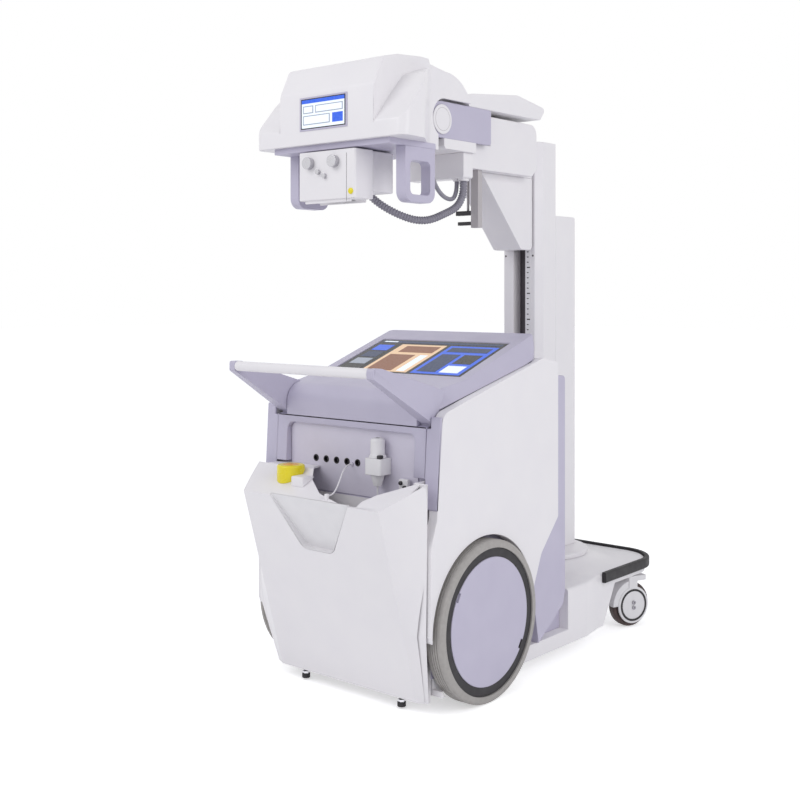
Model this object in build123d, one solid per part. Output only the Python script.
"""Mobile x-ray machine: a battery driven cart with a swivelling column, a carriage, an arm and a tube head.

Frame while modelling: X to the right of the machine, Y from the user's end (0 at the drive axle) to the
front casters, Z up from the floor, all in millimetres. save() moves each piece along Y so that the middle
of the whole length lies at the origin.
"""
from build123d import *
from math import cos, pi, radians, sin, tan
import os

# Overall sizes and clearances
OVERALL_WIDTH = 700.0
HALF_WIDTH = OVERALL_WIDTH / 2.0
RUNNING_GAP = 5.0
SEAM_GAP = 1.5
FIT_GAP = 0.05
SOFT_EDGE = 4.0

# Drive wheels, the axle lies at Y = 0
DRIVE_RADIUS = 225.0
TYRE_WIDTH = 56.0
TYRE_DEPTH = 21.5
TYRE_BEVEL = 6.0
RIM_DEPTH = 25.5
RIM_INSET = 4.0
DISC_WIDTH = 40.0
DISC_INSET = 2.0
NOTCH_ANGLE = 57.0
NOTCH_WIDTH = 26.0
NOTCH_DEPTH = 9.0
AXLE_RADIUS = 16.0
HUB_RADIUS = 38.0
ARCH_GAP = 12.0
WHEEL_SIDE_GAP = 8.0

# Front casters, each turned about its stem by its own angle, as the cart came to rest
CASTER_RADIUS = 75.0
CASTER_WIDTH = 32.0
CASTER_BEVEL = 7.0
CASTER_INSET = 70.0
CASTER_X = HALF_WIDTH - CASTER_INSET
CASTER_STEM_Y = 950.0
CASTER_TRAIL = 38.0
CASTER_PIN_RADIUS = 7.0
CASTER_STEM_RADIUS = 12.0
CASTER_SOCKET_DEPTH = 20.0
CASTER_DISC_RADIUS = 62.0
CASTER_DISC_WALL = 3.0
CASTER_NECK_HALF = 18.0
FORK_WALL = 4.0
CASTER_TURNS = {"right": (1, -22.5), "left": (-1, -12.0)}

# Base cover and deck
BASE_INSET = 32.0
BASE_HALF_WIDTH = HALF_WIDTH - BASE_INSET
BASE_BOTTOM = 52.0
BASE_REAR_Y = -180.0
SKIRT_FRONT_Y = 690.0
SKIRT_RUN = 75.0
NOSE_INSET = 50.0
NOSE_HALF_WIDTH = HALF_WIDTH - NOSE_INSET
NOSE_Y = 1055.0
NOSE_UNDER = 178.0
NOSE_TOP = 222.0
NOSE_CORNER = 120.0
NOSE_EDGE = 9.0
WAIST_REAR_Y = 560.0
WAIST_FRONT_Y = 655.0
WAIST_ROUND = 60.0
DECK_TOP = 246.0
PEDESTAL_RADIUS = 262.0
PEDESTAL_SAG = 6.0
BUMPER_DEPTH = 16.0
BUMPER_HEIGHT = 34.0
BUMPER_EDGE = 6.0
BUMPER_START_Y = 680.0
BUMPER_Z = 212.0

# Body: a core between the wheels, with a panel on each side
CORE_HALF_WIDTH = HALF_WIDTH - TYRE_WIDTH - WHEEL_SIDE_GAP
CORE_FLOOR = 98.0
CORE_FRONT_Y = -187.0
CORE_REAR_Y = 448.0
CORE_TOP_REAR = 905.0
CORE_REAR_ROUND = 45.0
FLANGE_TOP = 806.0
FLANGE_BOTTOM = 560.0
FLANGE_TOP_Y = (-204.0, -195.5)
FLANGE_BOTTOM_Y = (-218.2, -216.7)
SURROUND_BOTTOM = 640.0
RECESS_HALF_WIDTH = 245.0
RECESS_TOP = 756.0
RECESS_ROUND = 22.0
PANEL_THICKNESS = 30.0
PANEL_INSET = 18.0
PANEL_X = HALF_WIDTH - PANEL_INSET
PANEL_FRONT_Y = -246.0
PANEL_WAIST = (-218.0, 537.0)
PANEL_SHOULDER_Y = -194.0
PANEL_TOP_REAR = (290.0, 944.0)
PANEL_TOP_SLOPE = 0.27
PANEL_TAIL_DROP = 17.0
PANEL_REAR_Y = 370.0
PANEL_KINK_Z = 461.0
PANEL_SHOULDER_ROUND = 38.0
PANEL_RIB_INSET = 20.0
ARCH_REAR = (237.0, 269.0)
ARCH_SHOULDER = (279.0, 365.0)
PANEL_FOOT = ((-205.0, 130.0), (0.0, 98.0), (190.0, 98.0))
STRIP_WIDTH = 46.0
STRIP_FOOT_Y = 272.0
STRIP_TOP = 885.0
STRIP_BOTTOM = 187.0
STRIP_INSET = 6.0

# Detector bin at the user's end
BIN_WALL = 5.0
BIN_FRONT_TOP = (-370.0, 571.0)
BIN_FRONT_BOTTOM = (-214.0, 36.0)
BIN_BACK_TOP = 634.0
BIN_BACK_WALL_TOP = 560.0
BIN_FRONT_INSET = 92.0
BIN_FRONT_HALF = HALF_WIDTH - BIN_FRONT_INSET
BIN_BACK_Y = -248.0
BIN_LOW_Y = -200.0
BIN_KNEE_Z = 230.0
BIN_LOW_INSET = 62.0
BIN_KNEE_INSET = 32.0
BIN_TOP_INSET = 26.0
LEDGE_INNER_LEFT = ((-125.0, -215.0, 25.0), (-60.0, -290.0, 60.0), (15.0, -338.0, 60.0), (105.0, -362.0, 8.0))
LEDGE_INNER_RIGHT = ((176.0, -343.0, 12.0), (203.0, -312.0, 12.0), (300.0, -245.0, 0.0))
SCOOP_TOP_HALF = 145.0
SCOOP_BOTTOM_HALF = 55.0
SCOOP_BOTTOM_Z = 428.0
SCOOP_TOP_DEPTH = 6.0
SCOOP_DEPTH = 24.0
SCOOP_ROUND = 30.0
SCOOP_WALL = 3.0
PAD_RADIUS = 12.0
PAD_STEM_RADIUS = 6.0
PAD_X = 184.5
PAD_Y = -190.0
PAD_CLEARANCE = 5.0
PAD_THICKNESS = 13.0

# Things on the user's end
PLATE_DEPTH = 4.0
PLATE_BASE_Z = 565.0
SOCKET_RADIUS = 10.0
SOCKET_BORE = 7.0
SOCKET_BORE_DEPTH = 10.0
SOCKET_LET_IN = 12.0
SOCKET_PROUD = 1.5
SOCKET_PLAY = 0.3
SOCKET_START_X = -142.0
SOCKET_PITCH = 41.0
SOCKET_Z = 656.0
SOCKET_COUNT = 5
KNOB_CENTRE = (-152.0, -284.0)
KNOB_RADIUS = 40.0
KNOB_TOP = 646.0
KNOB_ROUND = 6.0
KNOB_POST_X = (-108.0, -62.0)
KNOB_POST_Y = (-326.0, -282.0)
KNOB_POST_TOP = 622.0
HOLDER_X = (90.0, 148.0)
HOLDER_Z = (636.0, 682.0)
HOLDER_DEPTH = 48.0
HOLDER_ROUND = 8.0
SWITCH_X = (HOLDER_X[0] + HOLDER_X[1]) / 2.0
SWITCH_TOP = 737.0
SWITCH_FOOT = 604.0
SWITCH_RADIUS = 20.0
SWITCH_FOOT_RADIUS = 11.0
SWITCH_COLLAR = 4.0
SWITCH_COLLAR_HEIGHT = 8.0
SWITCH_ROUND = 8.0
GLAND_HALF = 7.0
GLAND_Z = (567.0, 576.0)
TETHER_POST_X = (53.0, 63.0)
TETHER_POST_Y = (-359.0, -349.0)
TETHER_POST_TOP = 594.0

# Push handle and console
HANDLE_Y = -396.0
HANDLE_Z = 929.0
HANDLE_RADIUS = 14.0
HANDLE_INSET = 98.0
HANDLE_HALF_LENGTH = HALF_WIDTH - HANDLE_INSET
HANDLE_ARM_WIDTH = 24.0
HANDLE_ROOT_LOW = (-187.0, 783.0)
HANDLE_ROOT_TOP = (-140.0, 872.0)
CONSOLE_INSET = 52.0
CONSOLE_HALF_WIDTH = HALF_WIDTH - CONSOLE_INSET
CONSOLE_FLARE = 20.0
CONSOLE_LEAN = 0.59
CONSOLE_TOP_INSET = 65.0
CONSOLE_FRONT_Y = -205.0
CONSOLE_SKIRT_Z = 776.0
CONSOLE_FRONT_Z = 862.0
CONSOLE_ROLL = 55.0
APRON_END = (-30.0, 895.0)
CONSOLE_REAR_Y = 318.0
CONSOLE_REAR_Z = 1018.0
CONSOLE_CORNER = 85.0
MONITOR_HALF_WIDTH = 250.0
MONITOR_SPAN = (-15.0, 235.0)
MONITOR_DEPTH = 12.0
MONITOR_SINK = 3.0

# Column on its swivel
COLUMN_Y = 760.0
COLUMN_HALF_WIDTH = 80.0
COLUMN_FRONT_Y = 645.0
COLUMN_CHAMFER = (18.0, 27.0)
COLUMN_BREAK_Y = 748.0
COLUMN_REAR_Y = 902.0
COLUMN_FOOT = 262.0
COLUMN_HEIGHT = 1383.0
LOBE_HEIGHT = 1138.0
LOBE_CORNER = 45.0
LOBE_CROWN = 40.0
TURNTABLE_RADIUS = 170.0
TURNTABLE_EDGE = 6.0
SPIGOT_RADIUS = 60.0
SPIGOT_DEPTH = 30.0
TABLE_GAP = 1.0
SLOT_HALF_WIDTH = 24.0
SLOT_DEPTH = 40.0
SLOT_END_MARGIN = 45.0
SLOT_FOOT_MARGIN = 68.0
SCALE_OFFSET = 6.0
SCALE_WIDTH = 16.0

# Arm that slides through the carriage, with the head's pivot at its front end
PIVOT_Y = 63.0
PIVOT_Z = 1648.0
PLATE_HALF_HEIGHT = 54.0
PLATE_REAR_Y = 310.0
PLATE_REAR_ROUND = 8.0
PLATE_X = 125.0
PLATE_THICKNESS = 12.0
CHEEK_GAP = 5.0
BEAM_HALF_WIDTH = 60.0
BEAM_HALF_HEIGHT = 22.0
BEAM_REAR_Y = 580.0
CROSS_Y = (212.0, 232.0)
HOUSING_Y = (75.0, 233.0)
HOUSING_DEPTH = 31.0
HOUSING_ROUND = 12.0
HOSE_BOX_HALF = 112.0
HOSE_BOX_ROUND = 8.0
HOSE_BOX_Y = (186.0, 233.0)
HOSE_BOX_DEPTH = 77.0
PIVOT_CAP_RADIUS = 44.0
PIVOT_CAP_THICKNESS = 4.0
PIVOT_PIN_RADIUS = 14.0
PIVOT_PIN_LENGTH = 25.0
CANOPY_REAR_Y = 618.0
CANOPY_TOP_RISE = 121.0
CANOPY_LIP_RISE = 90.0
CANOPY_TAIL_RISE = 56.0
DRUM_RADIUS = 138.0
DRUM_WALL = 14.0
DRUM_FOOT_RISE = 90.0

# Carriage that runs up and down the column
BLOCK_HALF_WIDTH = 98.0
SLEEVE_HALF_WIDTH = 78.0
BLOCK_FRONT_Y = 240.0
BLOCK_STEP_Y = 345.0
BLOCK_REAR_Y = 604.0
BLOCK_BELOW = 128.0
BLOCK_STEP_BELOW = 50.0
BLOCK_ABOVE = 42.0
BLOCK_ROUND = 34.0
BLOCK_NECK_HALF = 56.0
SHOE_HEIGHT = 190.0
COVER_HALF_WIDTH = 56.0
COVER_FRONT_Y = 352.0
COVER_RUN = 65.0
COVER_HEIGHT = 240.0
COVER_ROUND = 16.0
LATCH_X = (62.0, 90.0)
LATCH_Y = (289.0, 311.0)
LATCH_LENGTH = 180.0
LATCH_ROD_RADIUS = 4.0
LATCH_ROD_X = 43.0
LATCH_GRIPS = ((0.0, 126.0, 140.0), (8.0, 160.0, 171.0))
LATCH_GRIP_INSET = 3.0

# Tube head
HEAD_FRONT_Y = -300.0
HEAD_HALF_WIDTH = 287.0
HEAD_BELOW = 95.0
HEAD_ABOVE = 152.0
HOOD_HALF_WIDTH = 180.0
HOOD_NOSE_RISE = 52.0
CAP_REAR_RISE = 117.0
HEAD_CORNER = 26.0
HEAD_SIDE_Y = -205.0
HEAD_SIDE_TAPER = 8.0
CHEEK_REAR_Y = 30.0
CHEEK_FRONT_Y = -10.0
CHEEK_WALL = 10.0
TRUNNION_RADIUS = 34.0
TILT_UP = 60.0
TILT_DOWN = 15.0
SCREEN_X = (-98.0, 84.0)
SCREEN_RISE = (-56.0, 38.0)
BELLY_DEPTH = 16.0
BELLY_HALF_WIDTH = 222.0
BELLY_FRONT_Y = -284.0
BELLY_WAIST_Y = -86.0
BELLY_REAR_Y = 26.0
BELLY_REAR_HALF = 122.0
GRIP_X = 205.0
GRIP_WIDTH = 34.0
GRIP_Y = (-218.0, -90.0)
GRIP_BAR = 21.0
GRIP_DROP = 152.0
GRIP_OPENING_DROP = 38.0
GRIP_CORNER = 30.0

# Collimator under the tube head
COLLIMATOR_Y = -200.0
COLLIMATOR_HALF_WIDTH = 108.0
COLLIMATOR_FRONT_DEPTH = 97.0
COLLIMATOR_BOX_DEPTH = 76.0
COLLIMATOR_HEIGHT = 136.0
COLLIMATOR_ROUND = 8.0
COLLIMATOR_NECK_RADIUS = 55.0
TURRET_HEIGHT = 112.0
RAIL_HALF = 88.0
RAIL_INSET = 6.0
RAIL_THICKNESS = 5.0
RAIL_DROP = 9.0
DIALS = ((-62.0, 32.0, 17.0, 16.0), (34.0, 32.0, 17.0, 16.0), (-28.0, 58.0, 7.0, 9.0), (-4.0, 70.0, 7.0, 9.0))
TURRET_HALF_WIDTH = 95.0
TURRET_Y = (-215.0, -104.0)
TURRET_ROUND = 30.0

# Hoses and cords, each a row of points from its first end to its last
COLLAR_WALL = 5.0
COLLAR_HEIGHT = 8.0
BEND_SHARE = 0.45
MAIN_HOSE_RADIUS = 12.0
MAIN_HOSE_ROUTE = (
    (-82.0, -75.0, 1529.0),
    (-82.0, -75.0, 1494.0),
    (-68.0, -71.0, 1456.0),
    (-40.0, -60.0, 1416.0),
    (0.0, -36.0, 1383.0),
    (35.0, 5.0, 1359.0),
    (54.0, 43.0, 1351.0),
    (70.0, 82.0, 1355.0),
    (83.0, 127.0, 1374.0),
    (90.5, 165.0, 1390.0),
    (93.0, 186.3, 1406.0),
    (94.0, 201.2, 1427.2),
    (94.0, 209.0, 1452.0),
    (94.0, 209.0, 1478.0),
)
SECOND_HOSE_RADIUS = 6.5
SECOND_HOSE_ROUTE = (
    (118.0, 18.0, 1529.0),
    (118.0, 18.0, 1507.0),
    (117.5, 26.0, 1481.0),
    (114.0, 44.0, 1456.0),
    (109.0, 70.0, 1436.0),
    (102.0, 100.0, 1424.0),
    (93.0, 133.0, 1419.0),
    (82.5, 166.0, 1420.4),
    (76.5, 185.5, 1428.8),
    (72.3, 199.0, 1442.9),
    (70.0, 206.0, 1460.5),
    (70.0, 206.0, 1478.0),
)
SWITCH_CORD_RADIUS = 2.5
SWITCH_CORD_ROUTE = (
    (119.0, -215.0, 604.0),
    (119.0, -215.0, 597.0),
    (119.0, -216.0, 590.0),
    (119.0, -215.0, 583.0),
    (119.0, -215.0, 576.0),
)
TETHER_RADIUS = 2.0
TETHER_BOSS_RADIUS = 6.0
TETHER_ROUTE = (
    (1.0, -195.0, 651.0),
    (1.0, -205.0, 651.0),
    (4.0, -220.0, 647.0),
    (13.0, -243.0, 636.0),
    (30.0, -273.0, 617.0),
    (46.0, -303.0, 600.0),
    (55.0, -326.0, 590.0),
    (58.0, -339.0, 588.0),
    (58.0, -349.0, 588.0),
)

HEAD_BOTTOM = PIVOT_Z - HEAD_BELOW
PLATE_BOTTOM = PIVOT_Z - PLATE_HALF_HEIGHT
PLATE_TOP = PIVOT_Z + PLATE_HALF_HEIGHT
BLOCK_BOTTOM = PIVOT_Z - BLOCK_BELOW
HOSE_BOX_BOTTOM = PLATE_BOTTOM - HOUSING_DEPTH - HOSE_BOX_DEPTH
BELLY_BOTTOM = HEAD_BOTTOM - BELLY_DEPTH
COLLIMATOR_TOP = BELLY_BOTTOM - RUNNING_GAP
PLATE_FRONT_Y = CORE_FRONT_Y - PLATE_DEPTH
PANEL_INNER_X = PANEL_X - PANEL_THICKNESS
COLUMN_TOP = COLUMN_FOOT + COLUMN_HEIGHT
DISC_RADIUS = DRIVE_RADIUS - TYRE_DEPTH - RIM_DEPTH
HANDLE_END_Y = HANDLE_Y - HANDLE_RADIUS
BUMPER_FRONT_Y = NOSE_Y + BUMPER_DEPTH
MIDDLE_Y = (HANDLE_END_Y + BUMPER_FRONT_Y) / 2.0

os.makedirs("parts", exist_ok=True)


def save(name, *solids):
    """Write one piece, or several that share a node, moved to the final frame."""
    bodies = [solid.moved(Location((0, -MIDDLE_Y, 0))) for item in solids for solid in item.solids()]
    export_step(Compound(children=bodies), f"parts/{name}.step")


def block(x_span, y_span, z_span):
    """A box between two limits along each axis."""
    size = [high - low for low, high in (x_span, y_span, z_span)]
    middle = [(high + low) / 2.0 for low, high in (x_span, y_span, z_span)]
    return Pos(*middle) * Box(*size)


def outline(rows, radius=0.0):
    """A closed line through rows of two places and, at a rounded corner, its own radius."""
    places = [row[:2] for row in rows]
    radii = [row[2] if len(row) > 2 else radius for row in rows]
    if any(radii):
        return FilletPolyline(*places, radius=radii, close=True)
    return Polyline(*places, close=True)


def side_profile(rows, x_span, radius=0.0):
    """An outline of (y, z) rows drawn out along X."""
    face = Plane.YZ.offset(x_span[0]) * make_face(outline(rows, radius))
    return extrude(face, x_span[1] - x_span[0])


def plan_profile(rows, z_span, radius=0.0):
    """An outline of (x, y) rows drawn out along Z."""
    face = Plane.XY.offset(z_span[0]) * make_face(outline(rows, radius))
    return extrude(face, z_span[1] - z_span[0])


def front_profile(rows, y_span, radius=0.0):
    """An outline of (x, z) rows drawn out along Y."""
    face = Plane.XZ.offset(-y_span[1]) * make_face(outline(rows, radius))
    return extrude(face, y_span[1] - y_span[0])


def x_cylinder(radius, x_span, y, z):
    """A cylinder along X."""
    middle = (x_span[0] + x_span[1]) / 2.0
    return Pos(middle, y, z) * Rot(0, 90, 0) * Cylinder(radius, x_span[1] - x_span[0])


def z_cylinder(radius, x, y, z_span):
    """A cylinder along Z."""
    middle = (z_span[0] + z_span[1]) / 2.0
    return Pos(x, y, middle) * Cylinder(radius, z_span[1] - z_span[0])


def mirrored(solid):
    """The same piece on the other side of the machine."""
    return mirror(solid, about=Plane.YZ)


def save_pair(name, right):
    """A left and a right piece, each in its own node."""
    save(name + "_right", right)
    save(name + "_left", mirrored(right))


def y_cylinder(radius, x, z, y_span):
    """A cylinder along Y."""
    middle = (y_span[0] + y_span[1]) / 2.0
    return Pos(x, middle, z) * Rot(90, 0, 0) * Cylinder(radius, y_span[1] - y_span[0])


def at(solid, axis, value):
    """The edges that lie wholly at one place along an axis."""

    def there(point):
        return abs(getattr(point, axis) - value) < 0.01

    return [edge for edge in solid.edges() if there(edge @ 0) and there(edge @ 0.5)]


def line_at(first, second, z):
    """Where the line through two (y, z) places reaches a height."""
    return first[0] + (second[0] - first[0]) * (z - first[1]) / (second[1] - first[1])


def bend_radii(route):
    """The arc radius at each inner point of a route, from its shorter run and its turn."""
    places = [Vector(*row) for row in route]
    radii = []
    for before, here, after in zip(places, places[1:], places[2:]):
        runs = (here - before, after - here)
        turn = runs[0].get_angle(runs[1])
        radii.append(BEND_SHARE * min(run.length for run in runs) / tan(radians(turn / 2.0)))
    return radii


def cord(name, route, radius):
    """A round cord along a route, with an arc at each inner point."""
    radii = bend_radii(route)
    path = FilletPolyline(*route, radius=radii)
    section = Plane(origin=path @ 0, z_dir=path % 0) * Circle(radius)
    solid = sweep(section, path=path)
    share = solid.volume / (pi * radius * radius * path.length)
    print(name, "length", round(path.length), "volume share", round(share, 4))
    print(name, "radii", [round(value) for value in radii])
    save(name, solid)


def drive_wheels():
    """Tyres, black rims and notched discs, and the stubs that carry them."""
    outer = HALF_WIDTH
    tyre_span = (outer - TYRE_WIDTH, outer)
    rim_radius = DRIVE_RADIUS - TYRE_DEPTH
    tyre = x_cylinder(DRIVE_RADIUS, tyre_span, 0, DRIVE_RADIUS)
    tyre = chamfer(at(tyre, "X", outer) + at(tyre, "X", outer - TYRE_WIDTH), TYRE_BEVEL)
    tyre -= x_cylinder(rim_radius, tyre_span, 0, DRIVE_RADIUS)
    rim_span = (outer - RIM_INSET - DISC_WIDTH, outer - RIM_INSET)
    rim = x_cylinder(rim_radius, rim_span, 0, DRIVE_RADIUS)
    rim -= x_cylinder(DISC_RADIUS, rim_span, 0, DRIVE_RADIUS)
    disc_span = (outer - DISC_INSET - DISC_WIDTH, outer - DISC_INSET)
    disc = x_cylinder(DISC_RADIUS, disc_span, 0, DRIVE_RADIUS)
    for turn in (NOTCH_ANGLE, NOTCH_ANGLE + 180.0):
        notch = Pos(disc_span[1], 0, DISC_RADIUS) * Box(2 * NOTCH_DEPTH, NOTCH_WIDTH, 2 * NOTCH_DEPTH)
        disc -= Pos(0, 0, DRIVE_RADIUS) * Rot(turn, 0, 0) * notch
    hub_start = CORE_HALF_WIDTH + RUNNING_GAP
    disc += x_cylinder(HUB_RADIUS, (hub_start, disc_span[1]), 0, DRIVE_RADIUS)
    bore_span = (hub_start, disc_span[0] + DISC_WIDTH / 2.0)
    disc -= x_cylinder(AXLE_RADIUS + FIT_GAP, bore_span, 0, DRIVE_RADIUS)
    save_pair("drive_tyre", tyre)
    save_pair("drive_rim", rim)
    save_pair("drive_disc", disc)
    stub = x_cylinder(AXLE_RADIUS, (CORE_HALF_WIDTH, bore_span[1] - SEAM_GAP), 0, DRIVE_RADIUS)
    save("drive_axle", stub, mirrored(stub))


def caster_pieces():
    """The fork and the wheel of a caster whose stem stands at the origin, trailing towards the user."""
    inner = CASTER_WIDTH / 2.0 + RUNNING_GAP
    plate = inner + FORK_WALL
    outer = plate + CASTER_DISC_WALL
    wheel_y = -CASTER_TRAIL
    guard = CASTER_RADIUS + RUNNING_GAP
    crown_bottom = CASTER_RADIUS + guard
    crown_top = NOSE_UNDER - RUNNING_GAP
    fork = x_cylinder(guard + CASTER_DISC_WALL, (-plate, plate), wheel_y, CASTER_RADIUS)
    fork -= x_cylinder(guard, (-inner, inner), wheel_y, CASTER_RADIUS)
    reach = guard + CASTER_DISC_WALL
    fork &= block((-plate, plate), (wheel_y - reach, wheel_y), (CASTER_RADIUS, CASTER_RADIUS + reach))
    neck_y = (wheel_y - CASTER_NECK_HALF, wheel_y + CASTER_NECK_HALF)
    for x_span in ((-outer, -inner), (inner, outer)):
        fork += x_cylinder(CASTER_DISC_RADIUS, x_span, wheel_y, CASTER_RADIUS)
        fork += block(x_span, neck_y, (CASTER_RADIUS, crown_top))
    crown_y = (neck_y[0], CASTER_STEM_RADIUS + FORK_WALL)
    fork += block((-outer, outer), crown_y, (crown_bottom, crown_top))
    fork += x_cylinder(CASTER_PIN_RADIUS, (-inner, inner), wheel_y, CASTER_RADIUS)
    fork += z_cylinder(CASTER_STEM_RADIUS, 0, 0, (crown_top, NOSE_UNDER + CASTER_SOCKET_DEPTH))
    wheel_span = (-CASTER_WIDTH / 2.0, CASTER_WIDTH / 2.0)
    wheel = x_cylinder(CASTER_RADIUS, wheel_span, wheel_y, CASTER_RADIUS)
    wheel = chamfer(at(wheel, "X", wheel_span[0]) + at(wheel, "X", wheel_span[1]), CASTER_BEVEL)
    wheel -= x_cylinder(CASTER_PIN_RADIUS + FIT_GAP, wheel_span, wheel_y, CASTER_RADIUS)
    return fork, wheel


def casters():
    """A swivel fork on each side, with its wheel, turned as the cart came to rest."""
    fork, wheel = caster_pieces()
    for name, (side, turn) in CASTER_TURNS.items():
        place = Pos(side * CASTER_X, CASTER_STEM_Y, 0) * Rot(0, 0, turn)
        save("caster_fork_" + name, place * fork)
        save("caster_wheel_" + name, place * wheel)


def base():
    """White skirt and deck with the column's pedestal, and the bumper round the nose."""
    rows = [
        (BASE_REAR_Y, BASE_BOTTOM),
        (SKIRT_FRONT_Y, BASE_BOTTOM),
        (SKIRT_FRONT_Y + SKIRT_RUN, NOSE_UNDER),
        (NOSE_Y, NOSE_UNDER),
        (NOSE_Y, NOSE_TOP),
        (BASE_REAR_Y, NOSE_TOP),
    ]
    cover = nose_plan(0.0, (BASE_BOTTOM, NOSE_TOP))
    rim = [edge for edge in at(cover, "Z", NOSE_TOP) if edge.center().Y > BASE_REAR_Y + 1]
    cover = fillet(rim, NOSE_EDGE)
    cover &= side_profile(rows, (-OVERALL_WIDTH, OVERALL_WIDTH))
    summit = (TURNTABLE_RADIUS, 0, DECK_TOP)
    hill = Polyline(summit, (0, 0, DECK_TOP), (0, 0, NOSE_TOP), (PEDESTAL_RADIUS, 0, NOSE_TOP))
    middle = ((TURNTABLE_RADIUS + PEDESTAL_RADIUS) / 2.0, 0, (DECK_TOP + NOSE_TOP) / 2.0 - PEDESTAL_SAG)
    flank = ThreePointArc(hill @ 1, middle, hill @ 0)
    cover += Pos(0, COLUMN_Y, 0) * revolve(make_face(hill + flank), Axis.Z)
    for side in (-1, 1):
        socket = (NOSE_UNDER, NOSE_UNDER + CASTER_SOCKET_DEPTH + RUNNING_GAP)
        cover -= z_cylinder(CASTER_STEM_RADIUS + FIT_GAP, side * CASTER_X, CASTER_STEM_Y, socket)
        well = x_cylinder(DRIVE_RADIUS + ARCH_GAP, (CORE_HALF_WIDTH, OVERALL_WIDTH), 0, DRIVE_RADIUS)
        cover -= well if side > 0 else mirrored(well)
    cover -= block((-OVERALL_WIDTH, OVERALL_WIDTH), (BASE_REAR_Y - 1, CORE_REAR_Y), (CORE_FLOOR, DECK_TOP + 1))
    seat = (DECK_TOP - SPIGOT_DEPTH - TABLE_GAP, DECK_TOP + TABLE_GAP)
    cover -= z_cylinder(SPIGOT_RADIUS + FIT_GAP, 0, COLUMN_Y, seat)
    save("base_cover", cover)
    z_span = (BUMPER_Z - BUMPER_HEIGHT / 2.0, BUMPER_Z + BUMPER_HEIGHT / 2.0)
    strip = nose_plan(BUMPER_DEPTH, z_span)
    strip = fillet(at(strip, "Z", z_span[0]) + at(strip, "Z", z_span[1]), BUMPER_EDGE)
    strip -= nose_plan(0.0, z_span)
    strip &= block((-OVERALL_WIDTH, OVERALL_WIDTH), (BUMPER_START_Y, BUMPER_FRONT_Y + 1), z_span)
    save("bumper", strip)


def nose_plan(grow, z_span):
    """The plan of the base, narrower and rounded at the nose, grown outwards by some amount."""
    wide = BASE_HALF_WIDTH + grow
    half = NOSE_HALF_WIDTH + grow
    right = [
        (wide, BASE_REAR_Y, 0.0),
        (wide, WAIST_REAR_Y, WAIST_ROUND),
        (half, WAIST_FRONT_Y, WAIST_ROUND),
        (half, NOSE_Y + grow, NOSE_CORNER + grow),
    ]
    left = [(-x, y, radius) for x, y, radius in reversed(right)]
    return plan_profile(right + left, z_span)


def body():
    """The core with the frame of its recess, its side panels and the strip behind them."""
    slope_y = line_at((FLANGE_TOP_Y[0], FLANGE_TOP), (FLANGE_BOTTOM_Y[0], FLANGE_BOTTOM), SURROUND_BOTTOM)
    rows = [
        (CORE_FRONT_Y, CORE_FLOOR),
        (CORE_REAR_Y, CORE_FLOOR),
        (CORE_REAR_Y, CORE_TOP_REAR, CORE_REAR_ROUND),
        (CONSOLE_REAR_Y, CORE_TOP_REAR),
        (CONSOLE_FRONT_Y, CONSOLE_SKIRT_Z),
        (slope_y, SURROUND_BOTTOM),
        (CORE_FRONT_Y, SURROUND_BOTTOM),
    ]
    core = side_profile(rows, (-CORE_HALF_WIDTH, CORE_HALF_WIDTH))
    recess = [
        (-RECESS_HALF_WIDTH, CORE_FLOOR),
        (-RECESS_HALF_WIDTH, RECESS_TOP, RECESS_ROUND),
        (RECESS_HALF_WIDTH, RECESS_TOP, RECESS_ROUND),
        (RECESS_HALF_WIDTH, CORE_FLOOR),
    ]
    core -= front_profile(recess, (BIN_FRONT_TOP[0], CORE_FRONT_Y))
    flange_rows = [
        (FLANGE_TOP_Y[0], FLANGE_TOP),
        (FLANGE_BOTTOM_Y[0], FLANGE_BOTTOM),
        (FLANGE_BOTTOM_Y[1], FLANGE_BOTTOM),
        (FLANGE_TOP_Y[1], FLANGE_TOP),
    ]
    flange = side_profile(flange_rows, (CORE_HALF_WIDTH - 1, PANEL_X))
    notch_y = (BIN_FRONT_TOP[0], CORE_FRONT_Y)
    flange -= block((0, CONSOLE_HALF_WIDTH + SEAM_GAP), notch_y, (CONSOLE_SKIRT_Z - SEAM_GAP, FLANGE_TOP + 1))
    flange -= block((0, CORE_HALF_WIDTH), notch_y, (0, SURROUND_BOTTOM))
    core += flange + mirrored(flange)
    for index in range(SOCKET_COUNT):
        x = SOCKET_START_X + index * SOCKET_PITCH
        core -= y_cylinder(SOCKET_RADIUS + SOCKET_PLAY, x, SOCKET_Z, (CORE_FRONT_Y, CORE_FRONT_Y + SOCKET_LET_IN))
    save("core_body", core)
    save_pair("side_panel", side_panel())
    save_pair("rear_strip", rear_strip())


def wheel_arch():
    """The space round a drive wheel."""
    return x_cylinder(DRIVE_RADIUS + ARCH_GAP, (0, OVERALL_WIDTH), 0, DRIVE_RADIUS)


def panel_top(y):
    """The height of a side panel's top edge."""
    return PANEL_TOP_REAR[1] + PANEL_TOP_SLOPE * (y - PANEL_TOP_REAR[0])


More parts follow.
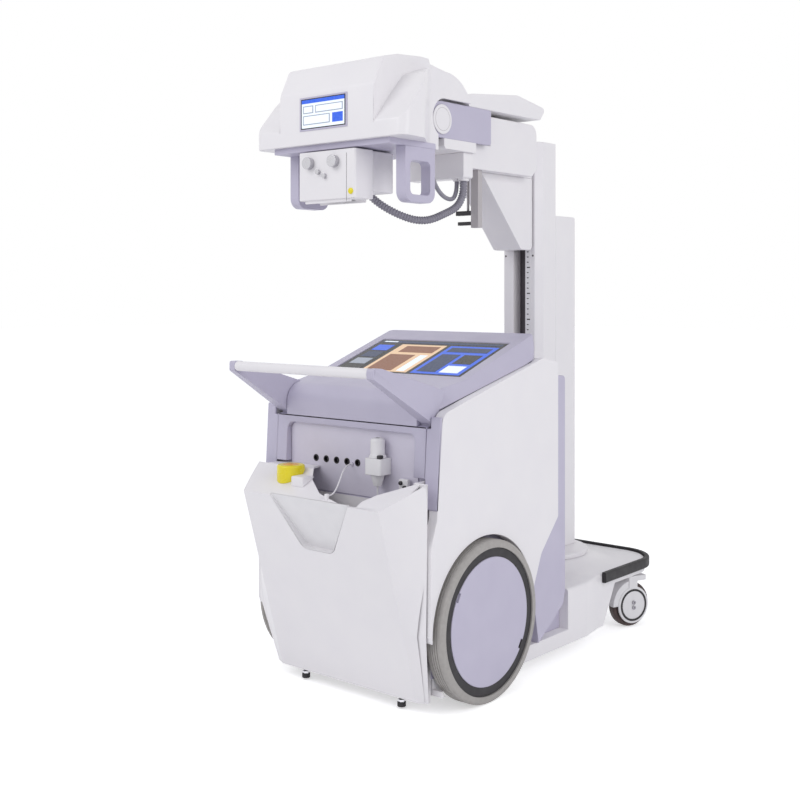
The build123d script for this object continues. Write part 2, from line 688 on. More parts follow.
def side_panel():
    """White panel over the wheel, with the rib behind it that meets the core."""
    tail = PANEL_TOP_REAR[1] - PANEL_TAIL_DROP
    low_y = PANEL_FRONT_Y + 2
    rows = [
        *PANEL_FOOT,
        (*ARCH_REAR, SOFT_EDGE),
        (*ARCH_SHOULDER, PANEL_SHOULDER_ROUND),
        (PANEL_REAR_Y, PANEL_KINK_Z, 12.0),
        (PANEL_REAR_Y, tail, 12.0),
        (*PANEL_TOP_REAR, 40.0),
        (PANEL_SHOULDER_Y, panel_top(PANEL_SHOULDER_Y), PANEL_SHOULDER_ROUND),
        (*PANEL_WAIST, 0.0),
        (low_y, 460.0, 20.0),
        (low_y, 230.0),
    ]
    panel = side_profile(rows, (PANEL_INNER_X, PANEL_X))
    panel -= wheel_arch()
    rib_y = (CORE_FRONT_Y + PANEL_RIB_INSET, PANEL_REAR_Y - PANEL_RIB_INSET)
    rib_z = (2 * DRIVE_RADIUS + 3 * PANEL_RIB_INSET, SURROUND_BOTTOM + 6 * PANEL_RIB_INSET)
    return panel + block((CORE_HALF_WIDTH, PANEL_INNER_X), rib_y, rib_z)


def rear_strip():
    """Lilac strip behind a side panel, down to the deck."""
    front_y = PANEL_REAR_Y + SEAM_GAP
    rear_y = front_y + STRIP_WIDTH
    rows = [
        (front_y, PANEL_KINK_Z - 1.0),
        (ARCH_SHOULDER[0] + SEAM_GAP + FIT_GAP, ARCH_SHOULDER[1] - SEAM_GAP),
        (ARCH_REAR[0] + SEAM_GAP, ARCH_REAR[1] - SEAM_GAP),
        (STRIP_FOOT_Y, CORE_FLOOR),
        (rear_y - 12.0, STRIP_BOTTOM, 10.0),
        (rear_y, STRIP_BOTTOM + 40.0, 20.0),
        (rear_y, STRIP_TOP, 14.0),
        (front_y, STRIP_TOP),
    ]
    return side_profile(rows, (CORE_HALF_WIDTH, PANEL_X - STRIP_INSET)) - wheel_arch()


def bin_front(z):
    """Where the bin's front wall stands at a height."""
    return line_at(BIN_FRONT_TOP, BIN_FRONT_BOTTOM, z)


def hopper(inset):
    """The bin's outer or inner form: three flat sections, closed by ruled sides."""
    sections = (
        (BIN_FRONT_BOTTOM[1] + inset, HALF_WIDTH - BIN_LOW_INSET, BIN_LOW_Y),
        (BIN_KNEE_Z, HALF_WIDTH - BIN_KNEE_INSET, BIN_BACK_Y),
        (BIN_BACK_TOP + 2 * BIN_WALL, HALF_WIDTH - BIN_TOP_INSET, BIN_BACK_Y),
    )
    back = CORE_FRONT_Y - inset
    inner_half = CORE_HALF_WIDTH - SEAM_GAP
    faces = []
    for z, back_half, corner_y in sections:
        front_y = bin_front(z) + inset
        right = [
            (BIN_FRONT_HALF - inset, front_y),
            (back_half - inset, corner_y - inset),
            (inner_half - inset, corner_y - inset),
            (inner_half - inset, back),
        ]
        left = [(-x, y) for x, y in reversed(right)]
        faces.append(Plane.XY.offset(z) * make_face(outline(right + left)))
    return loft(faces, ruled=True)


def above_rim(drop=0.0):
    """All that lies above the bin's sloping rim, or above a plane some way below it."""
    beyond = 60.0
    rim_slope = (BIN_BACK_TOP - BIN_FRONT_TOP[1]) / (BIN_BACK_Y - BIN_FRONT_TOP[0])
    rows = [
        (BIN_FRONT_TOP[0] - beyond, BIN_FRONT_TOP[1] - beyond * rim_slope - drop),
        (BIN_BACK_Y, BIN_BACK_TOP - drop),
        (CORE_FRONT_Y + beyond, BIN_BACK_TOP - drop),
        (CORE_FRONT_Y + beyond, BIN_BACK_TOP + beyond),
        (BIN_FRONT_TOP[0] - beyond, BIN_BACK_TOP + beyond),
    ]
    return side_profile(rows, (-OVERALL_WIDTH, OVERALL_WIDTH))


def ledges():
    """The two shelves inside the bin's rim: a large one on the left and a small one on the right."""
    far_y = BIN_FRONT_TOP[0] - BIN_WALL
    rear_y = PLATE_FRONT_Y - SEAM_GAP
    left = [(-HALF_WIDTH, far_y), (-HALF_WIDTH, rear_y), (LEDGE_INNER_LEFT[0][0], rear_y)]
    left += [*LEDGE_INNER_LEFT, (LEDGE_INNER_LEFT[-1][0], far_y)]
    right = [(LEDGE_INNER_RIGHT[0][0], far_y), *LEDGE_INNER_RIGHT, (LEDGE_INNER_RIGHT[-1][0], far_y)]
    z_span = (BIN_FRONT_TOP[1] - 2 * BIN_WALL, BIN_BACK_TOP)
    return (plan_profile(left, z_span) + plan_profile(right, z_span)) & above_rim(BIN_WALL) & hopper(0.0)


def scoop(grow):
    """The finger pull's form, let into the bin's front wall, or the same grown by its wall."""
    above = BIN_BACK_TOP
    spread = (SCOOP_TOP_HALF - SCOOP_BOTTOM_HALF) / (BIN_FRONT_TOP[1] - SCOOP_BOTTOM_Z)
    top_half = SCOOP_BOTTOM_HALF + spread * (above - SCOOP_BOTTOM_Z) + grow
    bottom_half = SCOOP_BOTTOM_HALF + grow
    bottom = SCOOP_BOTTOM_Z - grow
    front_rows = [
        (-top_half, above),
        (-bottom_half, bottom, SCOOP_ROUND + grow),
        (bottom_half, bottom, SCOOP_ROUND + grow),
        (top_half, above),
    ]
    side_rows = [
        (bin_front(above) - (1.0 if grow == 0.0 else 0.0), above),
        (bin_front(bottom) - (1.0 if grow == 0.0 else 0.0), bottom),
        (bin_front(bottom) + SCOOP_DEPTH + grow, bottom),
        (bin_front(BIN_FRONT_TOP[1]) + SCOOP_TOP_DEPTH + grow, BIN_FRONT_TOP[1]),
        (bin_front(above) + SCOOP_TOP_DEPTH + grow, above),
    ]
    reach = (bin_front(above) - 2.0, CORE_FRONT_Y)
    return front_profile(front_rows, reach) & side_profile(side_rows, (-OVERALL_WIDTH, OVERALL_WIDTH))


def detector_bin():
    """Open hopper that holds the flat detectors, with its ledges, its finger pull and its feet."""
    shell = hopper(0.0) - hopper(BIN_WALL)
    inner_half = CORE_HALF_WIDTH - SEAM_GAP - BIN_WALL
    back_y = (CORE_FRONT_Y - BIN_WALL, CORE_FRONT_Y + 1)
    shell -= block((-inner_half, inner_half), back_y, (BIN_BACK_WALL_TOP, BIN_BACK_TOP + 4 * BIN_WALL))
    shell += ledges()
    shell -= above_rim()
    shell -= scoop(SCOOP_WALL)
    save("detector_bin", shell)
    save("bin_grip", scoop(SCOOP_WALL) - scoop(0.0) - above_rim())
    pads = []
    for side in (-1, 1):
        foot = (PAD_CLEARANCE, PAD_CLEARANCE + PAD_THICKNESS)
        pad = z_cylinder(PAD_RADIUS, side * PAD_X, PAD_Y, foot)
        pads.append(pad + z_cylinder(PAD_STEM_RADIUS, side * PAD_X, PAD_Y, (foot[1], BIN_FRONT_BOTTOM[1])))
    save("foot_pads", *pads)


def push_handle():
    """White bar between two lilac arms that grow out of the console's front corners."""
    bar_span = (-HANDLE_HALF_LENGTH, HANDLE_HALF_LENGTH)
    save("handle_bar", x_cylinder(HANDLE_RADIUS, bar_span, HANDLE_Y, HANDLE_Z))
    rows = [
        (HANDLE_END_Y, HANDLE_Z - 12.0, 6.0),
        (HANDLE_END_Y, HANDLE_Z + HANDLE_RADIUS, 8.0),
        (HANDLE_END_Y + 30.0, HANDLE_Z + HANDLE_RADIUS, 12.0),
        (*HANDLE_ROOT_TOP, 0.0),
        (*HANDLE_ROOT_LOW, 0.0),
    ]
    plan = [
        (HANDLE_HALF_LENGTH, HANDLE_END_Y),
        (HANDLE_HALF_LENGTH + HANDLE_ARM_WIDTH, HANDLE_END_Y, 6.0),
        (CONSOLE_HALF_WIDTH, CORE_FRONT_Y),
        (CONSOLE_HALF_WIDTH, HANDLE_ROOT_TOP[0] + 1),
        (HANDLE_HALF_LENGTH, HANDLE_ROOT_TOP[0] + 1),
    ]
    arm_form = side_profile(rows, (0, OVERALL_WIDTH)) & plan_profile(plan, (CORE_FLOOR, CONSOLE_REAR_Z))
    save_pair("handle_arm", arm_form)


def console():
    """Raised frame with the touch monitor let into it and its sides leaning outwards."""
    edge_z = CONSOLE_REAR_Z
    half = CONSOLE_HALF_WIDTH + CONSOLE_FLARE
    rise = (CONSOLE_REAR_Z - APRON_END[1]) / (CONSOLE_REAR_Y - APRON_END[0])
    rows = [
        (CONSOLE_FRONT_Y, CONSOLE_SKIRT_Z),
        (CONSOLE_FRONT_Y, CONSOLE_FRONT_Z, CONSOLE_ROLL),
        (*APRON_END, 40.0),
        (CONSOLE_REAR_Y, edge_z, 10.0),
        (CONSOLE_REAR_Y, CORE_TOP_REAR),
    ]
    frame = side_profile(rows, (-half, half))
    along = Vector(0, 1, rise).normalized()
    down = Vector(CONSOLE_LEAN, 0, -1)
    side = Plane(origin=(HALF_WIDTH - CONSOLE_TOP_INSET, *APRON_END), x_dir=along, z_dir=down.cross(along))
    outside = side * Pos(0, 0, OVERALL_WIDTH / 2.0) * Box(3 * OVERALL_WIDTH, OVERALL_WIDTH, OVERALL_WIDTH)
    frame -= outside + mirrored(outside)
    plan = [
        (-half, CONSOLE_FRONT_Y, 0.0),
        (half, CONSOLE_FRONT_Y, 0.0),
        (half, CONSOLE_REAR_Y, CONSOLE_CORNER),
        (-half, CONSOLE_REAR_Y, CONSOLE_CORNER),
    ]
    frame &= plan_profile(plan, (CONSOLE_SKIRT_Z, CONSOLE_REAR_Z))
    over = [
        (CONSOLE_FRONT_Y - 1, CONSOLE_SKIRT_Z - 1),
        (CONSOLE_FRONT_Y - 1, panel_top(CONSOLE_FRONT_Y - 1) + SEAM_GAP),
        (PANEL_TOP_REAR[0], PANEL_TOP_REAR[1] + SEAM_GAP),
        (CONSOLE_REAR_Y + 1, PANEL_TOP_REAR[1] + SEAM_GAP),
        (CONSOLE_REAR_Y + 1, CONSOLE_SKIRT_Z - 1),
    ]
    beside = side_profile(over, (CORE_HALF_WIDTH, OVERALL_WIDTH))
    root_low = line_at(HANDLE_ROOT_LOW, HANDLE_ROOT_TOP, CONSOLE_SKIRT_Z - 1)
    root_high = line_at(HANDLE_ROOT_LOW, HANDLE_ROOT_TOP, CONSOLE_FRONT_Z + CONSOLE_ROLL)
    ahead = [
        (CONSOLE_FRONT_Y - 1, CONSOLE_SKIRT_Z - 1),
        (root_low, CONSOLE_SKIRT_Z - 1),
        (root_high, CONSOLE_FRONT_Z + CONSOLE_ROLL),
        (CONSOLE_FRONT_Y - 1, CONSOLE_FRONT_Z + CONSOLE_ROLL),
    ]
    beside += side_profile(ahead, (HANDLE_HALF_LENGTH - SEAM_GAP, OVERALL_WIDTH))
    frame -= beside + mirrored(beside)

    def monitor_form(gap, sink, depth):
        low, high = MONITOR_SPAN[0] + gap, MONITOR_SPAN[1] - gap
        tops = [APRON_END[1] + rise * (y - APRON_END[0]) for y in (low, high)]
        upper = [(low, tops[0] - sink), (high, tops[1] - sink)]
        lower = [(high, tops[1] - depth), (low, tops[0] - depth)]
        return side_profile(upper + lower, (-MONITOR_HALF_WIDTH + gap, MONITOR_HALF_WIDTH - gap))

    frame -= monitor_form(0.0, -MONITOR_DEPTH, MONITOR_DEPTH)
    save("console_frame", frame)
    save("monitor", monitor_form(SEAM_GAP, MONITOR_SINK, MONITOR_DEPTH))


def user_panel():
    """What stands in the recess and on the bin's ledge: sockets, hand switch, tether and knob."""
    half = RECESS_HALF_WIDTH - SEAM_GAP
    top = RECESS_TOP - SEAM_GAP
    rows = [(-half, PLATE_BASE_Z), (-half, top, RECESS_ROUND), (half, top, RECESS_ROUND), (half, PLATE_BASE_Z)]
    panel = front_profile(rows, (PLATE_FRONT_Y, CORE_FRONT_Y))
    boss_x, boss_y, boss_z = TETHER_ROUTE[0]
    panel += y_cylinder(TETHER_BOSS_RADIUS, boss_x, boss_z, (boss_y, PLATE_FRONT_Y))
    cups = []
    for index in range(SOCKET_COUNT):
        x = SOCKET_START_X + index * SOCKET_PITCH
        panel -= y_cylinder(SOCKET_RADIUS + SOCKET_PLAY, x, SOCKET_Z, (PLATE_FRONT_Y, CORE_FRONT_Y))
        mouth = PLATE_FRONT_Y - SOCKET_PROUD
        cup = y_cylinder(SOCKET_RADIUS, x, SOCKET_Z, (mouth, CORE_FRONT_Y + SOCKET_LET_IN))
        cups.append(cup - y_cylinder(SOCKET_BORE, x, SOCKET_Z, (mouth, mouth + SOCKET_BORE_DEPTH)))
    save("socket_panel", panel)
    save("sockets", *cups)
    switch_y = SWITCH_CORD_ROUTE[0][1]
    holder_y = (PLATE_FRONT_Y - HOLDER_DEPTH, PLATE_FRONT_Y)
    holder = block(HOLDER_X, holder_y, HOLDER_Z)
    holder = fillet([edge for edge in at(holder, "Y", holder_y[0]) if abs((edge % 0.5).Z) > 0.5], HOLDER_ROUND)
    holder -= z_cylinder(SWITCH_RADIUS + SOCKET_PLAY, SWITCH_X, switch_y, HOLDER_Z)
    gland_x = (SWITCH_X - GLAND_HALF, SWITCH_X + GLAND_HALF)
    gland = block(gland_x, (switch_y - GLAND_HALF, PLATE_FRONT_Y), GLAND_Z)
    save("switch_holder", holder, gland)
    switch = z_cylinder(SWITCH_RADIUS, SWITCH_X, switch_y, (HOLDER_Z[0], SWITCH_TOP))
    switch = fillet(at(switch, "Z", SWITCH_TOP), SWITCH_ROUND)
    collar = (HOLDER_Z[1], HOLDER_Z[1] + SWITCH_COLLAR_HEIGHT)
    switch += z_cylinder(SWITCH_RADIUS + SWITCH_COLLAR, SWITCH_X, switch_y, collar)
    foot_height = HOLDER_Z[0] - SWITCH_FOOT
    foot = Cone(SWITCH_FOOT_RADIUS, SWITCH_RADIUS, foot_height)
    switch += Pos(SWITCH_X, switch_y, SWITCH_FOOT + foot_height / 2.0) * foot
    save("hand_switch", switch)
    cord("switch_cord", SWITCH_CORD_ROUTE, SWITCH_CORD_RADIUS)
    cord("tether_cord", TETHER_ROUTE, TETHER_RADIUS)
    low = BIN_FRONT_TOP[1] - BIN_WALL
    post = block(KNOB_POST_X, KNOB_POST_Y, (low, KNOB_POST_TOP))
    post = fillet(at(post, "Z", KNOB_POST_TOP), SOFT_EDGE)
    eye = block(TETHER_POST_X, TETHER_POST_Y, (low, TETHER_POST_TOP))
    save("knob_post", post & above_rim(), eye & above_rim())
    knob = z_cylinder(KNOB_RADIUS, *KNOB_CENTRE, (low, KNOB_TOP))
    save("yellow_knob", fillet(at(knob, "Z", KNOB_TOP), KNOB_ROUND) & above_rim())


def column():
    """Turntable, mast with its slot, and the rounded cover behind it."""
    table = z_cylinder(TURNTABLE_RADIUS, 0, COLUMN_Y, (DECK_TOP + TABLE_GAP, COLUMN_FOOT))
    table = fillet(at(table, "Z", COLUMN_FOOT), TURNTABLE_EDGE)
    table += z_cylinder(SPIGOT_RADIUS, 0, COLUMN_Y, (DECK_TOP - SPIGOT_DEPTH, DECK_TOP + TABLE_GAP))
    save("turntable", table)
    side_in, rear_in = COLUMN_CHAMFER
    right = [
        (COLUMN_HALF_WIDTH - side_in, COLUMN_FRONT_Y),
        (COLUMN_HALF_WIDTH, COLUMN_FRONT_Y + rear_in),
        (COLUMN_HALF_WIDTH, COLUMN_BREAK_Y),
    ]
    mast = plan_profile(right + [(-x, y) for x, y in reversed(right)], (COLUMN_FOOT, COLUMN_TOP))
    slot_z = (COLUMN_FOOT + SLOT_FOOT_MARGIN, COLUMN_TOP - SLOT_END_MARGIN)
    slot_x = (-SLOT_HALF_WIDTH, SLOT_HALF_WIDTH)
    mast -= block(slot_x, (COLUMN_FRONT_Y, COLUMN_FRONT_Y + SLOT_DEPTH), slot_z)
    save("column_mast", mast)
    lobe_rows = [
        (COLUMN_HALF_WIDTH, COLUMN_BREAK_Y, 0.0),
        (COLUMN_HALF_WIDTH, COLUMN_REAR_Y, LOBE_CORNER),
        (-COLUMN_HALF_WIDTH, COLUMN_REAR_Y, LOBE_CORNER),
        (-COLUMN_HALF_WIDTH, COLUMN_BREAK_Y, 0.0),
    ]
    lobe_top = COLUMN_FOOT + LOBE_HEIGHT
    crown = [
        (COLUMN_BREAK_Y, COLUMN_FOOT),
        (COLUMN_REAR_Y, COLUMN_FOOT),
        (COLUMN_REAR_Y, lobe_top, LOBE_CROWN),
        (COLUMN_BREAK_Y, lobe_top),
    ]
    lobe = plan_profile(lobe_rows, (COLUMN_FOOT, lobe_top))
    save("column_rear_cover", lobe & side_profile(crown, (-COLUMN_HALF_WIDTH, COLUMN_HALF_WIDTH)))
    tape_x = (SLOT_HALF_WIDTH + SCALE_OFFSET, SLOT_HALF_WIDTH + SCALE_OFFSET + SCALE_WIDTH)
    save("column_scale", block(tape_x, (COLUMN_FRONT_Y - 1.0, COLUMN_FRONT_Y), slot_z))


def carriage():
    """Block that clamps the arm, its wedge cover, and the latch that hangs below."""
    top = PIVOT_Z + BLOCK_ABOVE
    step = PIVOT_Z - BLOCK_STEP_BELOW
    chamfer = BLOCK_ROUND * 0.75
    rows = [
        (BLOCK_FRONT_Y, BLOCK_BOTTOM, SOFT_EDGE),
        (BLOCK_FRONT_Y, step, SOFT_EDGE),
        (BLOCK_STEP_Y, step, 0.0),
        (BLOCK_STEP_Y, top, SOFT_EDGE),
        (BLOCK_REAR_Y, top, BLOCK_ROUND),
        (BLOCK_REAR_Y, BLOCK_BOTTOM + chamfer, 0.0),
        (BLOCK_REAR_Y - chamfer, BLOCK_BOTTOM, 0.0),
    ]
    form = side_profile(rows, (-BLOCK_HALF_WIDTH, BLOCK_HALF_WIDTH))
    sleeve_x = (-SLEEVE_HALF_WIDTH, SLEEVE_HALF_WIDTH)
    form += block(sleeve_x, (BLOCK_FRONT_Y, BLOCK_STEP_Y + 1), (step - 1, top - RUNNING_GAP))
    rear = COLUMN_FRONT_Y - RUNNING_GAP
    neck_z = (BLOCK_BOTTOM, top - BLOCK_ROUND)
    form += block((-BLOCK_NECK_HALF, BLOCK_NECK_HALF), (BLOCK_REAR_Y - BLOCK_ROUND, rear), neck_z)
    tunnel_x = (-BEAM_HALF_WIDTH - FIT_GAP, BEAM_HALF_WIDTH + FIT_GAP)
    tunnel_z = (PIVOT_Z - BEAM_HALF_HEIGHT - FIT_GAP, PIVOT_Z + BEAM_HALF_HEIGHT + FIT_GAP)
    form -= block(tunnel_x, (BLOCK_FRONT_Y - 1, BEAM_REAR_Y + RUNNING_GAP), tunnel_z)
    shoe_x = (-SLOT_HALF_WIDTH + FIT_GAP, SLOT_HALF_WIDTH - FIT_GAP)
    shoe_top = COLUMN_TOP - SLOT_END_MARGIN - 2 * RUNNING_GAP
    form += block(shoe_x, (rear, COLUMN_FRONT_Y + SLOT_DEPTH - FIT_GAP), (shoe_top - SHOE_HEIGHT, shoe_top))
    save("carriage_block", form)
    foot = BLOCK_BOTTOM - COVER_HEIGHT
    wedge = [
        (COVER_FRONT_Y, BLOCK_BOTTOM),
        (rear, BLOCK_BOTTOM),
        (rear, foot, COVER_ROUND),
        (rear - COVER_RUN, foot, COVER_ROUND),
    ]
    save("carriage_cover", side_profile(wedge, (-COVER_HALF_WIDTH, COVER_HALF_WIDTH)))
    latch = block(LATCH_X, LATCH_Y, (BLOCK_BOTTOM - LATCH_LENGTH, BLOCK_BOTTOM))
    grip_y = (LATCH_Y[0] + LATCH_GRIP_INSET, LATCH_Y[1] - LATCH_GRIP_INSET)
    for start, upper, lower in LATCH_GRIPS:
        latch += block((start, LATCH_X[0]), grip_y, (BLOCK_BOTTOM - lower, BLOCK_BOTTOM - upper))
    rod_y = (LATCH_Y[0] + LATCH_Y[1]) / 2.0
    latch += z_cylinder(LATCH_ROD_RADIUS, LATCH_ROD_X, rod_y, (BLOCK_BOTTOM - LATCH_GRIPS[0][1], BLOCK_BOTTOM))
    save("park_latch", latch)


def arm():
    """Side plates that carry the head's pivot, the beam in the carriage and the covers on both."""
    front = PIVOT_Y - PLATE_HALF_HEIGHT
    nose = PLATE_HALF_HEIGHT - FIT_GAP
    rows = [
        (front, PLATE_BOTTOM, nose),
        (PLATE_REAR_Y, PLATE_BOTTOM, PLATE_REAR_ROUND),
        (PLATE_REAR_Y, PLATE_TOP, PLATE_REAR_ROUND),
        (front, PLATE_TOP, nose),
    ]
    inside = PLATE_X - PLATE_THICKNESS
    plate = side_profile(rows, (inside, PLATE_X))
    plate += x_cylinder(PIVOT_PIN_RADIUS, (inside - PIVOT_PIN_LENGTH, PLATE_X - 1), PIVOT_Y, PIVOT_Z)
    save_pair("arm_plate", plate)
    beam_z = (PIVOT_Z - BEAM_HALF_HEIGHT, PIVOT_Z + BEAM_HALF_HEIGHT)
    beam = block((-BEAM_HALF_WIDTH, BEAM_HALF_WIDTH), (CROSS_Y[0], BEAM_REAR_Y), beam_z)
    save("arm_beam", beam + block((-inside, inside), CROSS_Y, (PLATE_BOTTOM, PLATE_TOP)))
    low = PLATE_BOTTOM - HOUSING_DEPTH
    housing = [
        (HOUSING_Y[0], PLATE_BOTTOM),
        (HOUSING_Y[0], low, HOUSING_ROUND),
        (HOUSING_Y[1], low),
        (HOUSING_Y[1], PLATE_BOTTOM),
    ]
    save("arm_housing", side_profile(housing, (-PLATE_X, PLATE_X)))
    duct_rows = [
        (-HOSE_BOX_HALF, low),
        (-HOSE_BOX_HALF, HOSE_BOX_BOTTOM, HOSE_BOX_ROUND),
        (HOSE_BOX_HALF, HOSE_BOX_BOTTOM, HOSE_BOX_ROUND),
        (HOSE_BOX_HALF, low),
    ]
    save("hose_box", front_profile(duct_rows, HOSE_BOX_Y) + collars(-1, HOSE_BOX_BOTTOM))
    canopy_rows = [
        (PIVOT_Y + 136.0, PLATE_TOP, 0.0),
        (PIVOT_Y + 117.0, PIVOT_Z + 88.0, SOFT_EDGE),
        (PIVOT_Y + 150.0, PIVOT_Z + 95.0, 0.0),
        (455.0, PIVOT_Z + CANOPY_TOP_RISE, 60.0),
        (CANOPY_REAR_Y, PIVOT_Z + CANOPY_LIP_RISE + 6.0, 12.0),
        (CANOPY_REAR_Y - 32.0, PIVOT_Z + CANOPY_TAIL_RISE, 8.0),
        (PIVOT_Y + 200.0, PLATE_TOP, 0.0),
    ]
    save("arm_canopy", side_profile(canopy_rows, (-PLATE_X, PLATE_X)))
    cap = x_cylinder(PIVOT_CAP_RADIUS, (PLATE_X, PLATE_X + PIVOT_CAP_THICKNESS), PIVOT_Y, PIVOT_Z)
    save("pivot_caps", cap, mirrored(cap))
    cord("hose_main", MAIN_HOSE_ROUTE, MAIN_HOSE_RADIUS)
    cord("hose_second", SECOND_HOSE_ROUTE, SECOND_HOSE_RADIUS)


def collars(end, z):
    """The two glands that hold the hoses at one of their ends, under a face at some height."""
    glands = []
    for route, radius in ((MAIN_HOSE_ROUTE, MAIN_HOSE_RADIUS), (SECOND_HOSE_ROUTE, SECOND_HOSE_RADIUS)):
        glands.append(z_cylinder(radius + COLLAR_WALL, route[end][0], route[end][1], (z - COLLAR_HEIGHT, z)))
    return glands[0] + glands[1]


def head():
    """Tube hood with its cheeks and drum, its screen, the lilac tray below and a handle on each side."""
    hub_gap = PLATE_HALF_HEIGHT + RUNNING_GAP
    wide = (-OVERALL_WIDTH, OVERALL_WIDTH)
    inner = (-PLATE_X - CHEEK_GAP, PLATE_X + CHEEK_GAP)
    beyond = PIVOT_Y + 3 * DRUM_RADIUS
    form = head_form()
    hood = form - x_cylinder(hub_gap, wide, PIVOT_Y, PIVOT_Z)
    hood -= block(wide, (PIVOT_Y, beyond), (PIVOT_Z - hub_gap, PIVOT_Z + hub_gap))
    hood -= plate_sweep(hub_gap, inner)
    hood -= block(wide, (CHEEK_REAR_Y, beyond), (HEAD_BOTTOM - 1, PIVOT_Z))
    drum_x = PLATE_X - PLATE_THICKNESS - RUNNING_GAP
    drum_z = (PIVOT_Z + DRUM_FOOT_RISE, PIVOT_Z + HEAD_ABOVE)
    drum = form & block((-drum_x, drum_x), (PIVOT_Y - 2, beyond), drum_z)
    drum -= x_cylinder(DRUM_RADIUS - DRUM_WALL, wide, PIVOT_Y, PIVOT_Z)
    save("hood_shell", hood + drum)
    trunnion = x_cylinder(TRUNNION_RADIUS, (-drum_x, drum_x), PIVOT_Y, PIVOT_Z)
    web = block((-60.0, 60.0), (PIVOT_Y - hub_gap - 10, PIVOT_Y), (PIVOT_Z - 15, PIVOT_Z + 15))
    trunnion += web & x_cylinder(hub_gap, wide, PIVOT_Y, PIVOT_Z)
    bore = x_cylinder(PIVOT_PIN_RADIUS + FIT_GAP, (drum_x - PIVOT_PIN_LENGTH, drum_x), PIVOT_Y, PIVOT_Z)
    trunnion -= bore + mirrored(bore)
    save("head_trunnion", trunnion)
    screen_z = (PIVOT_Z + SCREEN_RISE[0], PIVOT_Z + SCREEN_RISE[1])
    save("head_screen", block(SCREEN_X, (HEAD_FRONT_Y - 2.0, HEAD_FRONT_Y), screen_z))
    save("tube_housing", tray())
    save_pair("head_handle", head_grip())


def tray():
    """Lilac tray under the hood, wide in front and narrow behind, with the hoses' glands."""
    right = [
        (BELLY_HALF_WIDTH, BELLY_FRONT_Y, SOFT_EDGE),
        (BELLY_HALF_WIDTH, BELLY_WAIST_Y, HEAD_CORNER),
        (BELLY_REAR_HALF, BELLY_REAR_Y, SOFT_EDGE),
    ]
    left = [(-x, y, radius) for x, y, radius in reversed(right)]
    form = plan_profile(right + left, (BELLY_BOTTOM, HEAD_BOTTOM))
    seat = (COLLIMATOR_TOP, HEAD_BOTTOM - SEAM_GAP)
    form -= z_cylinder(COLLIMATOR_NECK_RADIUS + FIT_GAP, 0, COLLIMATOR_Y, seat)
    return form + collars(0, BELLY_BOTTOM)


def head_grip():
    """A handle loop that hangs from the tray on the right."""
    foot = BELLY_BOTTOM - GRIP_DROP
    outer = [
        (GRIP_Y[0], BELLY_BOTTOM),
        (GRIP_Y[0], foot, GRIP_CORNER),
        (GRIP_Y[1], foot, GRIP_CORNER),
        (GRIP_Y[1], BELLY_BOTTOM),
    ]
    low, high = foot + GRIP_BAR, BELLY_BOTTOM - GRIP_OPENING_DROP
    near, far = GRIP_Y[0] + GRIP_BAR, GRIP_Y[1] - GRIP_BAR
    inner = [(near, low), (far, low), (far, high), (near, high)]
    x_span = (GRIP_X - GRIP_WIDTH / 2.0, GRIP_X + GRIP_WIDTH / 2.0)
    return side_profile(outer, x_span) - side_profile(inner, x_span, GRIP_CORNER / 2.0)


def plate_sweep(reach, x_span):
    """What the arm's plates pass through while the head tilts, seen from the head."""
    long = 400.0
    corners = []
    for angle, side in ((TILT_UP, 1.0), (-TILT_DOWN, -1.0)):
        along = Vector(cos(radians(angle)), sin(radians(angle)))
        across = Vector(-along.Y, along.X) * (side * reach)
        corners.append((across, across + along * long))
    (upper_near, upper_far), (lower_near, lower_far) = corners
    path = [upper_near, upper_far, Vector(long, upper_far.Y), Vector(long, lower_far.Y), lower_far, lower_near]
    return side_profile([(PIVOT_Y + point.X, PIVOT_Z + point.Y) for point in path], x_span)


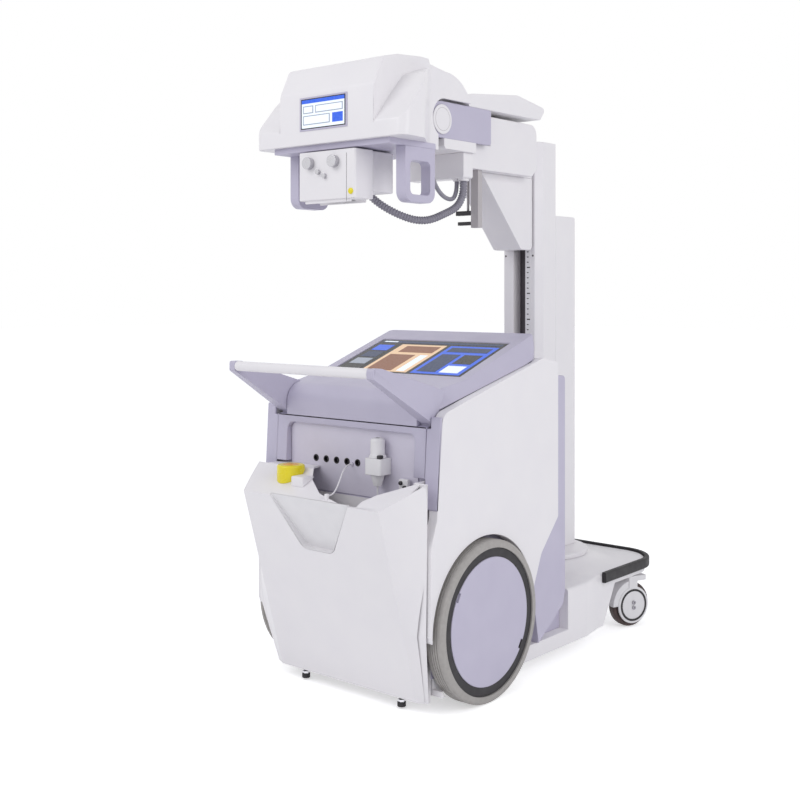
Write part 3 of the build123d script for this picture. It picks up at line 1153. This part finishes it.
def head_form():
    """The hood's outer form: a high middle, lower ends and the drum, all cut to one plan."""
    top = PIVOT_Z + HEAD_ABOVE
    middle = [
        (HEAD_FRONT_Y, HEAD_BOTTOM),
        (HEAD_FRONT_Y, PIVOT_Z + HOOD_NOSE_RISE, 20.0),
        (-264.0, top - 23.0, 20.0),
        (-200.0, top - 8.0, 60.0),
        (-100.0, top, 60.0),
        (-20.0, top - 1.0, 60.0),
        (PIVOT_Y, PIVOT_Z + DRUM_RADIUS),
        (PIVOT_Y, HEAD_BOTTOM),
    ]
    ends = [
        (HEAD_FRONT_Y, HEAD_BOTTOM),
        (HEAD_FRONT_Y, PIVOT_Z - 50.0, 12.0),
        (-228.0, PIVOT_Z + 37.0, 60.0),
        (-180.0, PIVOT_Z + 88.0, 20.0),
        (-100.0, PIVOT_Z + CAP_REAR_RISE, 60.0),
        (PIVOT_Y, PIVOT_Z + CAP_REAR_RISE),
        (PIVOT_Y, HEAD_BOTTOM),
    ]
    cheek = PLATE_X + CHEEK_GAP + CHEEK_WALL
    right = [
        (HEAD_HALF_WIDTH, HEAD_FRONT_Y, HEAD_CORNER),
        (HEAD_HALF_WIDTH - HEAD_SIDE_TAPER, HEAD_SIDE_Y, 2 * HEAD_CORNER),
        (cheek, CHEEK_FRONT_Y, HEAD_CORNER),
        (cheek, PIVOT_Y + 2 * DRUM_RADIUS, 0.0),
    ]
    left = [(-x, y, radius) for x, y, radius in reversed(right)]
    form = side_profile(middle, (-HOOD_HALF_WIDTH, HOOD_HALF_WIDTH))
    form += side_profile(ends, (-HEAD_HALF_WIDTH - 5, HEAD_HALF_WIDTH + 5))
    form += x_cylinder(DRUM_RADIUS, (-cheek - 1, cheek + 1), PIVOT_Y, PIVOT_Z)
    return form & plan_profile(right + left, (HEAD_BOTTOM, top + 1))


def collimator():
    """Collimator box on a round neck, the deeper part behind it, its dials and its rails."""
    front = COLLIMATOR_Y - COLLIMATOR_FRONT_DEPTH
    bottom = COLLIMATOR_TOP - COLLIMATOR_HEIGHT
    x_span = (-COLLIMATOR_HALF_WIDTH, COLLIMATOR_HALF_WIDTH)
    box = block(x_span, (front, front + COLLIMATOR_BOX_DEPTH), (bottom, COLLIMATOR_TOP))
    box = fillet([edge for edge in at(box, "Y", front) if abs((edge % 0.5).Z) > 0.5], COLLIMATOR_ROUND)
    box += z_cylinder(COLLIMATOR_NECK_RADIUS, 0, COLLIMATOR_Y, (COLLIMATOR_TOP, HEAD_BOTTOM - 2 * SEAM_GAP))
    for y in (front + RAIL_INSET, front + COLLIMATOR_BOX_DEPTH - RAIL_INSET - RAIL_THICKNESS):
        box += block((-RAIL_HALF, RAIL_HALF), (y, y + RAIL_THICKNESS), (bottom - RAIL_DROP, bottom))
    save("collimator", box)
    turret = [
        (-TURRET_HALF_WIDTH, TURRET_Y[0]),
        (TURRET_HALF_WIDTH, TURRET_Y[0]),
        (TURRET_HALF_WIDTH, TURRET_Y[1], TURRET_ROUND),
        (-TURRET_HALF_WIDTH, TURRET_Y[1], TURRET_ROUND),
    ]
    save("collimator_back", plan_profile(turret, (COLLIMATOR_TOP - TURRET_HEIGHT, COLLIMATOR_TOP)))
    dials = []
    for x, drop, radius, length in DIALS:
        dials.append(y_cylinder(radius, x, COLLIMATOR_TOP - drop, (front - length, front)))
    save("collimator_knobs", *dials)


drive_wheels()
casters()
base()
body()
detector_bin()
push_handle()
console()
user_panel()
column()
carriage()
arm()
head()
collimator()
